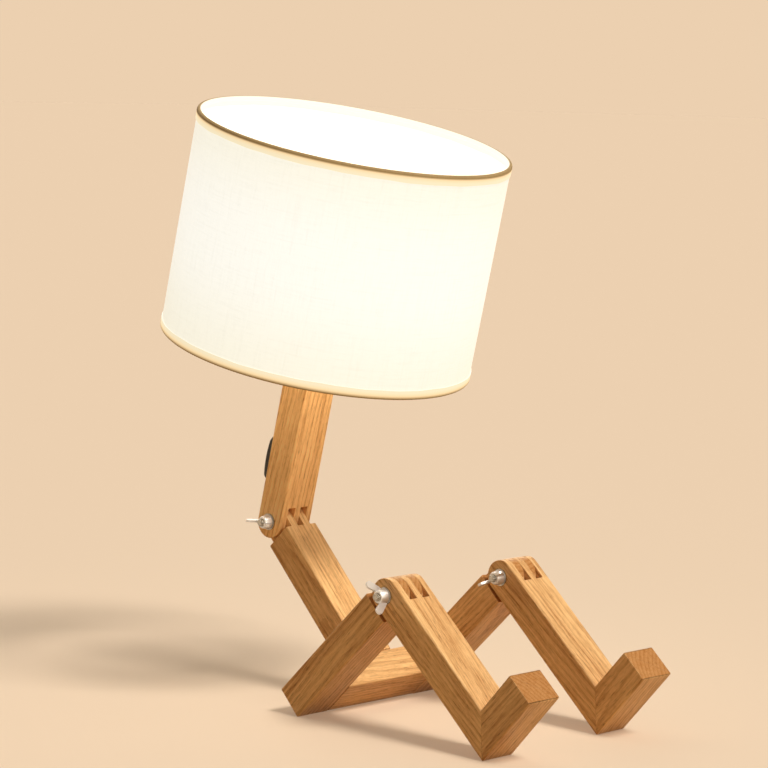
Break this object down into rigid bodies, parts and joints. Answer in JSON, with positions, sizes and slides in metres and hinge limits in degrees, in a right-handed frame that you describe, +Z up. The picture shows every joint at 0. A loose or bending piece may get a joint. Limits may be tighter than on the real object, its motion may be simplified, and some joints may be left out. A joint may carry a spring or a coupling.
{
  "type": "posable desk lamp",
  "caption": "Posable wooden desk lamp in the shape of a seated figure, with a drum shade for its head and limbs that fold on bolted finger joints.",
  "frame": {"origin": "on the floor, under the middle of the lamp's overall box", "axes": "+Z up; +X the way the seated figure faces, towards its feet; +Y the figure's left side"},
  "size_m": [0.3846, 0.2258, 0.4281],
  "materials": {
    "oak": "oiled, with dark pores along the grain",
    "birch": "plain sanded",
    "zinc": "bright zinc plated",
    "brass": "plain",
    "black_plastic": "moulded, fine texture",
    "white_plastic": "moulded, satin",
    "porcelain": "glazed",
    "brown_wire": "flexible insulation",
    "blue_wire": "flexible insulation",
    "circuit_board": "lacquered",
    "led_board": "white coated",
    "opal": "frosted, opal",
    "white_enamel": "white powder coat",
    "liner": "translucent sheet",
    "linen": "plain weave, ivory",
    "rim_tape": "woven tape"
  },
  "bodies": {
    "pelvis": {"thigh_right": "oak", "thigh_left": "oak", "hip_bar": "oak", "lower_torso": "oak", "hip_dowels": "birch", "torso_dowels": "birch"},
    "shin_right": {"shin_right": "oak", "foot_right": "oak", "ankle_dowels_right": "birch", "knee_bolt_right": "zinc"},
    "knee_washer_right": {"knee_washer_right": "zinc"},
    "knee_nut_right": {"knee_wing_nut_right": "zinc"},
    "shin_left": {"shin_left": "oak", "foot_left": "oak", "ankle_dowels_left": "birch", "knee_bolt_left": "zinc"},
    "knee_washer_left": {"knee_washer_left": "zinc"},
    "knee_nut_left": {"knee_wing_nut_left": "zinc"},
    "waist_washer": {"waist_washer": "zinc"},
    "waist_nut": {"waist_wing_nut": "zinc"},
    "rocker": {"switch_rocker": "black_plastic"},
    "torso": {"upper_torso": "oak", "waist_bolt": "zinc", "switch_housing": "black_plastic", "switch_terminals": "brass", "live_wire": "brown_wire", "neutral_wire": "blue_wire", "supply_tail": "brown_wire", "wire_joiners": "white_plastic", "cord_bush": "black_plastic", "holder_nipple": "zinc", "nipple_nut": "zinc", "holder_cap": "white_plastic", "holder_core": "porcelain", "terminal_screws": "brass", "centre_contact": "brass", "screw_sleeve": "brass", "holder_shell": "white_plastic", "shade_ring_nut": "white_plastic", "bulb_contact": "zinc", "bulb_insulator": "black_plastic", "bulb_screw_cap": "zinc", "bulb_body": "white_plastic", "bulb_driver": "circuit_board", "led_board": "led_board", "bulb_globe": "opal", "shade_carrier": "white_enamel", "shade_bottom_ring": "white_enamel", "shade_top_ring": "white_enamel", "shade_liner": "liner", "shade_fabric": "linen", "shade_top_tape": "rim_tape", "shade_bottom_tape": "rim_tape"}
  },
  "joints": [
    {"name": "waist", "type": "hinge", "parent": "pelvis", "child": "torso", "pos_m": [-0.11214, 0, 0.12044], "axis": [0, 1, 0], "range_deg": [-57, 30]},
    {"name": "knee_right", "type": "hinge", "parent": "pelvis", "child": "shin_right", "pos_m": [0.0622, -0.058, 0.09679], "axis": [0, 1, 0], "range_deg": [-86, 8]},
    {"name": "knee_left", "type": "hinge", "parent": "pelvis", "child": "shin_left", "pos_m": [0.0622, 0.058, 0.09679], "axis": [0, 1, 0], "range_deg": [-86, 8]},
    {"name": "knee_washer_right_slide", "type": "slide", "parent": "shin_right", "child": "knee_washer_right", "axis": [0, -1, 0], "range_m": [0, 0.00161]},
    {"name": "knee_nut_right_turn", "type": "hinge", "parent": "knee_washer_right", "child": "knee_nut_right", "pos_m": [0.0622, -0.058, 0.09679], "axis": [0, -1, 0], "range_deg": [0, 720]},
    {"name": "knee_washer_left_slide", "type": "slide", "parent": "shin_left", "child": "knee_washer_left", "axis": [0, -1, 0], "range_m": [0, 0.00161]},
    {"name": "knee_nut_left_turn", "type": "hinge", "parent": "knee_washer_left", "child": "knee_nut_left", "pos_m": [0.0622, 0.058, 0.09679], "axis": [0, -1, 0], "range_deg": [0, 720]},
    {"name": "waist_washer_slide", "type": "slide", "parent": "torso", "child": "waist_washer", "axis": [0, -1, 0], "range_m": [0, 0.00161]},
    {"name": "waist_nut_turn", "type": "hinge", "parent": "waist_washer", "child": "waist_nut", "pos_m": [-0.11214, 0, 0.12044], "axis": [0, -1, 0], "range_deg": [0, 720]},
    {"name": "switch_rocker", "type": "hinge", "parent": "torso", "child": "rocker", "pos_m": [-0.11386, 0, 0.16602], "axis": [0, 1, 0], "range_deg": [-14, 0]}
  ],
  "couplings": [
    {"joint": "knee_washer_right_slide", "follows": "knee_nut_right_turn", "m_per_rad": 0.00012732},
    {"joint": "knee_washer_left_slide", "follows": "knee_nut_left_turn", "m_per_rad": 0.00012732},
    {"joint": "waist_washer_slide", "follows": "waist_nut_turn", "m_per_rad": 0.00012732}
  ]
}
